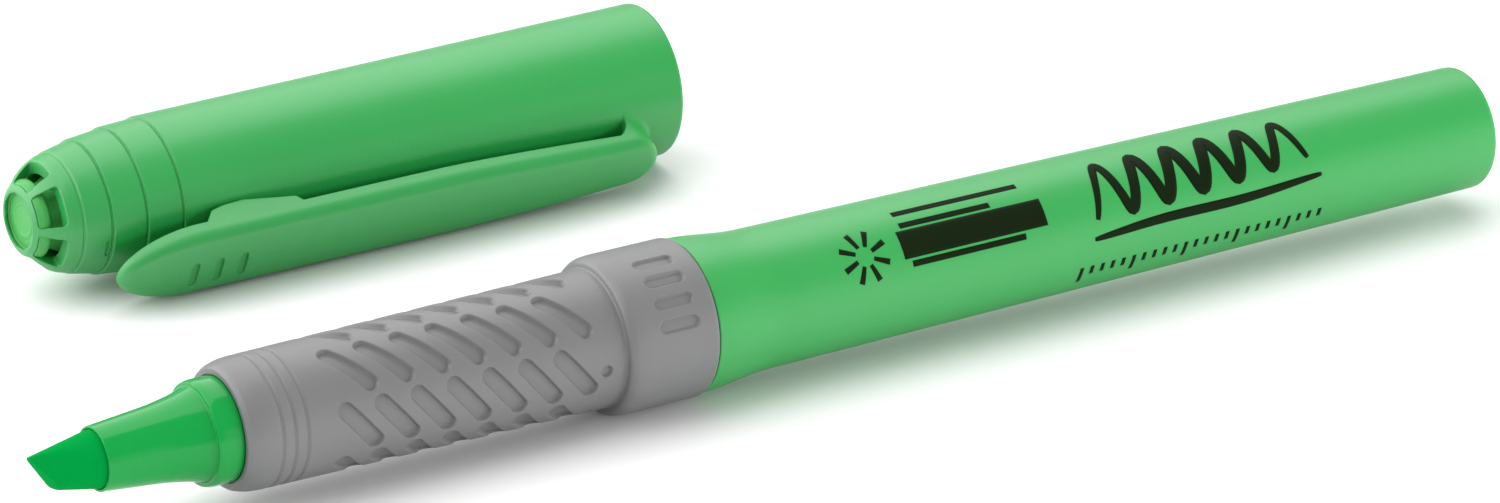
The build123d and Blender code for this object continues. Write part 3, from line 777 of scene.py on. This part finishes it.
def nick_field(x, y, z):
    """A short shallow nick moulded in front of the first ring."""
    turn = (np.degrees(np.arctan2(z, y)) - NICK_ANGLE + 180) % 360 - 180
    across = np.radians(turn) * NICK_FLOOR_R
    groove = np.hypot(x - NICK_STATION, across - np.clip(across, -NICK_HALF, NICK_HALF)) - NICK_R
    return np.maximum(groove, NICK_FLOOR_R - np.hypot(y, z))


def shell_field(profile):
    def field(x, y, z):
        body = profile(x, np.hypot(y, z))
        body = blend_max(body, -window_field(x, y, z), 0.12)
        return np.maximum(body, -nick_field(x, y, z))
    return field


def make_cap_shell():
    mouth = CAP_LENGTH - MOUTH_GRID
    xs = spaced(
        (-0.3, NOSE_GRID_END, NOSE_PITCH), (NOSE_GRID_END, RING_GRID_END, RING_PITCH),
        (RING_GRID_END, mouth, BODY_PITCH), (mouth, CAP_LENGTH + 0.3, MOUTH_PITCH))
    across = spaced((-MOUTH_R - 0.3, MOUTH_R + 0.3, CAP_ACROSS_PITCH))
    quick, exact = shell_field(cap_line.quick), shell_field(cap_line.exact)
    points, quads, normals = field_mesh(quick, exact, xs, across, across)
    shell = mesh_object("cap_body", points + CAP, quads.tolist(), normals)
    return dress(shell, CAP_GREEN, "cap", "cap_plastic", "cap_shell")


def make_inner_seal():
    wall, start, bulge = SEAL_WALL_R, SEAL_START, SEAL_BULGE_START
    bore = HOLDER_RING_R + 0.06
    corners = [
        (start + 0.05, 0, 0), (start + 0.05, 1.15, 0.05), (start, 1.25, 0.05), (start, 1.45, 0.05),
        (start + 0.05, 1.55, 0.05), (start + 0.05, NOSE_HOLE_R - 0.04, 0.02),
        (bulge, NOSE_HOLE_R - 0.01, 0.0), (bulge, 2.96, 0.1), (0.85, 3.22, 0.4), (1.30, 3.18, 0.3),
        (1.55, 2.68, 0.3), (2.4, 2.66, 0.6), (4.2, 3.80, 0.8), (9.0, 4.58, 0.5), (10.0, 4.66, 0.05),
        (10.0, 4.94, 0.05), (11.4, 4.94, 0.05), (11.4, wall, 0.05), (SEAL_END, wall, 0.12),
        (SEAL_END, bore + 0.2, 0.05), (SEAL_END - 0.4, bore, 0.2), (10.0, bore, 0.5),
        (4.6, bore - 1.0, 0.5), (1.4, 1.3, 0.2), (1.4, 0, 0)]
    seal = lathe("inner_cup", corners, CAP, segments=224)
    return dress(seal, SEAL_GREEN, "cap", "seal_plastic", "cap_inner_seal")


# ---------------------------------------------------------------- pocket clip
CLIP_ANGLE = -155.8
CLIP_HEIGHT, CLIP_HALF = 9.25, 3.2
CLIP_TIP_LENGTH, CLIP_ROOT_LENGTH = 7.2, 2.6
CLIP_NARROWS, CLIP_ROOT_HALF = 34.0, 2.4
CLIP_INNER_R = 7.8
CLIP_CROWN_R = 14.0
CLIP_EDGE = 0.95
CLIP_FRONT = CLIP_TIP - 0.35        # the rounded edges draw the free end back by about this much
CLIP_FOOT_START, CLIP_FOOT_RAMP = CLIP_ROOT - 3.6, 2.2
BEAD_STATIONS = [12.7, 13.6, 14.8, 16.6, 21.0, 21.4]
BEAD_RISES = [0.0, 0.95, 1.22, 1.30, 0.55, 0.0]
ROOT_DROP, ROOT_DROP_LENGTH = 0.25, 12.0
TIP_DROP, TIP_DROP_LENGTH = 0.45, 6.0
DIMPLE_COUNT, DIMPLE_FIRST, DIMPLE_PITCH = 3, 11.2, 2.2
DIMPLE_SIDE, DIMPLE_HALF, DIMPLE_R, DIMPLE_DEPTH = 0.5, 0.9, 0.34, 0.26
FOOT_REACH = 0.25
FLARE_BLEND, FLARE_REACH, FLARE_AHEAD, FLARE_SINK = 0.8, 1.2, 0.6, 0.22
CLIP_FINE_END, CLIP_FINE_PITCH, CLIP_MIDDLE_PITCH, CLIP_ROOT_PITCH = 24.0, 0.10, 0.35, 0.11
CLIP_GRID, CLIP_GRID_LOW, CLIP_GRID_SIDE = 0.085, 4.4, 4.5
SHELL_FRONT, SHELL_FRONT_R = 11.72, 6.14


def shell_radius(station):
    share = (station - SHELL_FRONT) / (CAP_LENGTH - SHELL_FRONT)
    return SHELL_FRONT_R + (MOUTH_R - SHELL_FRONT_R) * share


def clip_plan(x, w):
    """Distance to the clip's outline seen square on: a long rounded tongue, narrower at its root."""
    tip_middle, root_middle = CLIP_FRONT + CLIP_TIP_LENGTH, CLIP_ROOT - CLIP_ROOT_LENGTH
    share = np.clip((x - CLIP_NARROWS) / (root_middle - CLIP_NARROWS), 0, 1)
    half = CLIP_HALF + (CLIP_ROOT_HALF - CLIP_HALF) * share ** 1.5
    length = np.where(x < tip_middle, CLIP_TIP_LENGTH, CLIP_ROOT_LENGTH)
    beyond = np.where(x < tip_middle, x - tip_middle, np.maximum(x - root_middle, 0))
    size = np.hypot(beyond / length, w / half)
    slope = np.hypot(beyond / length ** 2, w / half ** 2)
    return size * (size - 1) / np.maximum(slope, 1e-6)


def clip_field(x, h, w):
    """The clip in its own frame: station, height outward from the cap's axis, and across."""
    plan = clip_plan(x, w)
    # outer face: crowned across, level along, dipping at the free end and a little at the root
    root_share = np.clip((x - CLIP_ROOT + ROOT_DROP_LENGTH) / ROOT_DROP_LENGTH, 0, 1.1)
    tip_share = np.clip((CLIP_TIP + TIP_DROP_LENGTH - x) / TIP_DROP_LENGTH, 0, 1.1)
    root_drop, tip_drop = ROOT_DROP * root_share ** 2, TIP_DROP * tip_share ** 2
    outer = np.hypot(h - CLIP_HEIGHT + CLIP_CROWN_R, w) - CLIP_CROWN_R + root_drop + tip_drop
    # inner face: a wider round than the shell's, with a bead and a foot that reaches the shell
    radius = np.hypot(h, w)
    bead = np.interp(x, BEAD_STATIONS, BEAD_RISES)
    foot = np.clip((x - CLIP_FOOT_START) / CLIP_FOOT_RAMP, 0, 1)
    foot = foot * foot * (3 - 2 * foot) * (CLIP_INNER_R - shell_radius(x) + FOOT_REACH)
    inner = CLIP_INNER_R - np.maximum(bead, foot) - radius
    blade = blend_max(blend_max(plan, outer, CLIP_EDGE), inner, 0.25)
    # three small dimples near the free end
    side = w - DIMPLE_SIDE
    beside = side - np.clip(side, -DIMPLE_HALF, DIMPLE_HALF)
    for index in range(DIMPLE_COUNT):
        dimple = np.hypot(x - DIMPLE_FIRST - DIMPLE_PITCH * index, beside) - DIMPLE_R
        floor = CLIP_HEIGHT - DIMPLE_DEPTH - h
        blade = blend_max(blade, -blend_max(dimple, floor, 0.08), 0.10)
    # the foot flares into the shell
    skin = radius - shell_radius(x) + 0.03
    near = blend_min(blade, skin, FLARE_BLEND)
    reach = np.maximum(plan - FLARE_REACH, CLIP_FOOT_START - FLARE_AHEAD - x)
    flare = np.maximum(np.maximum(near, reach), shell_radius(x) - FLARE_SINK - radius)
    return np.minimum(blade, flare)


def make_pocket_clip():
    out, round_way = about(CLIP_ANGLE)
    foot = CLIP_ROOT - 11.0
    xs = spaced(
        (CLIP_FRONT - 0.3, CLIP_FINE_END, CLIP_FINE_PITCH), (CLIP_FINE_END, foot, CLIP_MIDDLE_PITCH),
        (foot, CLIP_ROOT + 2.0, CLIP_ROOT_PITCH))
    heights = spaced((CLIP_GRID_LOW, CLIP_HEIGHT + 0.3, CLIP_GRID))
    widths = spaced((-CLIP_GRID_SIDE, CLIP_GRID_SIDE, CLIP_GRID))
    points, quads, normals = field_mesh(clip_field, clip_field, xs, heights, widths)

    def placed(local):
        station, height, across = local[:, 0], local[:, 1], local[:, 2]
        return np.stack([
            station, height * out[0] + across * round_way[0],
            height * out[1] + across * round_way[1]], -1)

    clip = mesh_object("spring_clip", placed(points) + CAP, quads.tolist(), placed(normals))
    dress(clip, CAP_GREEN, None, "cap_plastic", "pocket_clip")
    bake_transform(clip)
    return clip


# ---------------------------------------------------------------- inside pieces
def dress_inside():
    for node, material in (("ink_reservoir", FIBRE), ("reservoir_film", FILM)):
        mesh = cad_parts[node].data
        mesh.materials.clear()
        mesh.materials.append(material)


# ---------------------------------------------------------------- stage, light and camera
FLOOR_HALF = 3.0
WORLD_STRENGTH = 0.45


def make_stage():
    half = FLOOR_HALF
    corners = [(-half, -half, 0), (half, -half, 0), (half, half, 0), (-half, half, 0)]
    mesh = bpy.data.meshes.new("floor")
    mesh.from_pydata(corners, [], [(0, 1, 2, 3)])
    floor = bpy.data.objects.new("floor", mesh)
    bpy.context.scene.collection.objects.link(floor)
    material = bpy.data.materials.new("pale_floor")
    material.use_nodes = True
    shader = material.node_tree.nodes["Principled BSDF"]
    shader.inputs["Base Color"].default_value = (0.86, 0.86, 0.86, 1)
    shader.inputs["Roughness"].default_value = 0.9
    shader.inputs["Specular IOR Level"].default_value = 0.1
    mesh.materials.append(material)


def area_light(name, place, aim, width, height, power):
    light = bpy.data.lights.new(name, "AREA")
    light.shape = "RECTANGLE"
    light.size, light.size_y = width, height
    light.energy = power
    obj = bpy.data.objects.new(name, light)
    obj.location = place
    obj.rotation_euler = (Vector(aim) - Vector(place)).to_track_quat("-Z", "Y").to_euler()
    obj.visible_camera = False
    bpy.context.scene.collection.objects.link(obj)
    return obj


def make_light():
    world = bpy.data.worlds.new("studio")
    bpy.context.scene.world = world
    world.use_nodes = True
    world.node_tree.nodes["Background"].inputs["Color"].default_value = (1, 1, 1, 1)
    world.node_tree.nodes["Background"].inputs["Strength"].default_value = WORLD_STRENGTH
    area_light("overhead", (-0.10, 0.26, 0.52), (0, 0.06, 0), 1.7, 0.9, 8.5)
    area_light("left_panel", (-0.50, 0.32, 0.24), (0, 0, 0), 1.3, 0.5, 4.0)
    right = area_light("right_panel", (0.42, -0.27, 0.09), (0, 0, 0), 1.2, 0.16, 4.8)
    right.visible_glossy = False


CAMERA_AIM = (0.000091, -0.016815, 0.007774)
CAMERA_AZIMUTH, CAMERA_ELEVATION = math.radians(-32.324), math.radians(22.292)
CAMERA_DISTANCE, CAMERA_LENS, CAMERA_SENSOR = 0.700, 216.0, 36.0


def make_camera():
    camera = bpy.data.objects.new("camera", bpy.data.cameras.new("camera"))
    bpy.context.scene.collection.objects.link(camera)
    level = math.cos(CAMERA_ELEVATION)
    back = Vector((
        math.sin(CAMERA_AZIMUTH) * level, -math.cos(CAMERA_AZIMUTH) * level,
        math.sin(CAMERA_ELEVATION)))
    camera.location = Vector(CAMERA_AIM) + back * CAMERA_DISTANCE
    camera.rotation_euler = (-back).to_track_quat("-Z", "Y").to_euler()
    camera.data.lens = CAMERA_LENS
    camera.data.sensor_width = CAMERA_SENSOR
    camera.data.clip_start, camera.data.clip_end = 0.01, 20.0
    bpy.context.scene.camera = camera


make_nib()
make_nib_holder()
make_grip_sleeve()
make_barrel()
make_end_plug()
make_print()
make_cap_shell()
make_inner_seal()
make_pocket_clip()
dress_inside()
make_stage()
make_light()
make_camera()
bpy.context.scene.view_settings.view_transform = "Standard"
